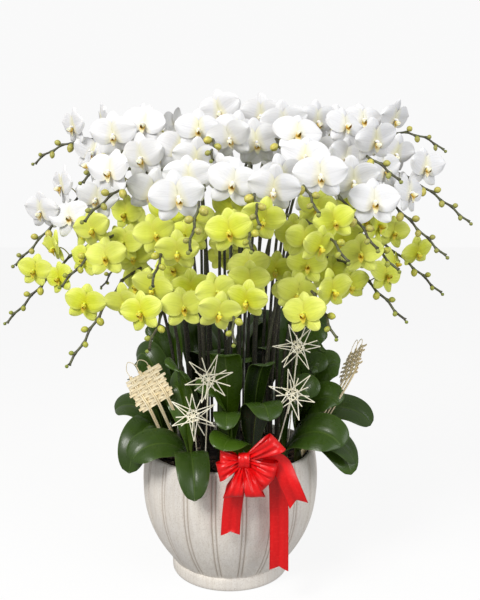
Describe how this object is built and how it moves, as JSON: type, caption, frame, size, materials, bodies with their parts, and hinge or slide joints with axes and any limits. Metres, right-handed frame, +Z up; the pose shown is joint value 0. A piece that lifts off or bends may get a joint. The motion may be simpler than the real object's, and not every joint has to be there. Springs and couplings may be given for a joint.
{
  "type": "potted orchid",
  "caption": "Ribbed round pot planted with arching white and yellow moth orchid spikes over broad leaves, with a red ribbon bow, straw stars and woven slat fans.",
  "frame": {"origin": "centre of the pot's flat underside", "axes": "+Z up, -Y towards the front, where the bow hangs, +X to the viewer's right"},
  "size_m": [1.007, 0.8716, 1.0787],
  "materials": {
    "pot_glaze": "matte",
    "bark": "matte",
    "white_flowers": "satin",
    "yellow_flowers": "satin",
    "leaves": "satin",
    "ribbon": "satin",
    "straw": "matte",
    "bamboo": "matte",
    "stake_wire": "satin"
  },
  "bodies": {
    "root": {"pot": "pot_glaze", "growing_medium": "bark", "white_spike_01": "white_flowers", "white_spike_02": "white_flowers", "white_spike_03": "white_flowers", "white_spike_04": "white_flowers", "white_spike_05": "white_flowers", "white_spike_06": "white_flowers", "white_spike_07": "white_flowers", "white_spike_08": "white_flowers", "white_spike_09": "white_flowers", "white_spike_10": "white_flowers", "white_spike_11": "white_flowers", "white_spike_12": "white_flowers", "white_spike_13": "white_flowers", "white_spike_14": "white_flowers", "white_spike_15": "white_flowers", "white_spike_16": "white_flowers", "yellow_spike_01": "yellow_flowers", "yellow_spike_02": "yellow_flowers", "yellow_spike_03": "yellow_flowers", "yellow_spike_04": "yellow_flowers", "yellow_spike_05": "yellow_flowers", "yellow_spike_06": "yellow_flowers", "yellow_spike_07": "yellow_flowers", "yellow_spike_08": "yellow_flowers", "yellow_spike_09": "yellow_flowers", "yellow_spike_10": "yellow_flowers", "yellow_spike_11": "yellow_flowers", "yellow_spike_12": "yellow_flowers", "yellow_spike_13": "yellow_flowers", "yellow_spike_14": "yellow_flowers", "yellow_spike_15": "yellow_flowers", "leaf_spray_01": "leaves", "leaf_spray_02": "leaves", "leaf_spray_03": "leaves", "leaf_spray_04": "leaves", "leaf_spray_05": "leaves", "leaf_spray_06": "leaves", "leaf_spray_07": "leaves", "leaf_spray_08": "leaves", "leaf_spray_09": "leaves", "leaf_spray_10": "leaves", "leaf_spray_11": "leaves", "leaf_spray_12": "leaves", "leaf_spray_13": "leaves", "bow": "ribbon", "ribbon_tail_left": "ribbon", "ribbon_tail_right": "ribbon", "ribbon_tail_short": "ribbon", "straw_star_1": "straw", "straw_star_2": "straw", "straw_star_3": "straw", "straw_star_4": "straw", "woven_fan_left": "bamboo", "woven_fan_right": "bamboo", "support_stake_1": "stake_wire", "support_stake_2": "stake_wire", "support_stake_3": "stake_wire", "bow_pick": "stake_wire"}
  },
  "joints": []
}
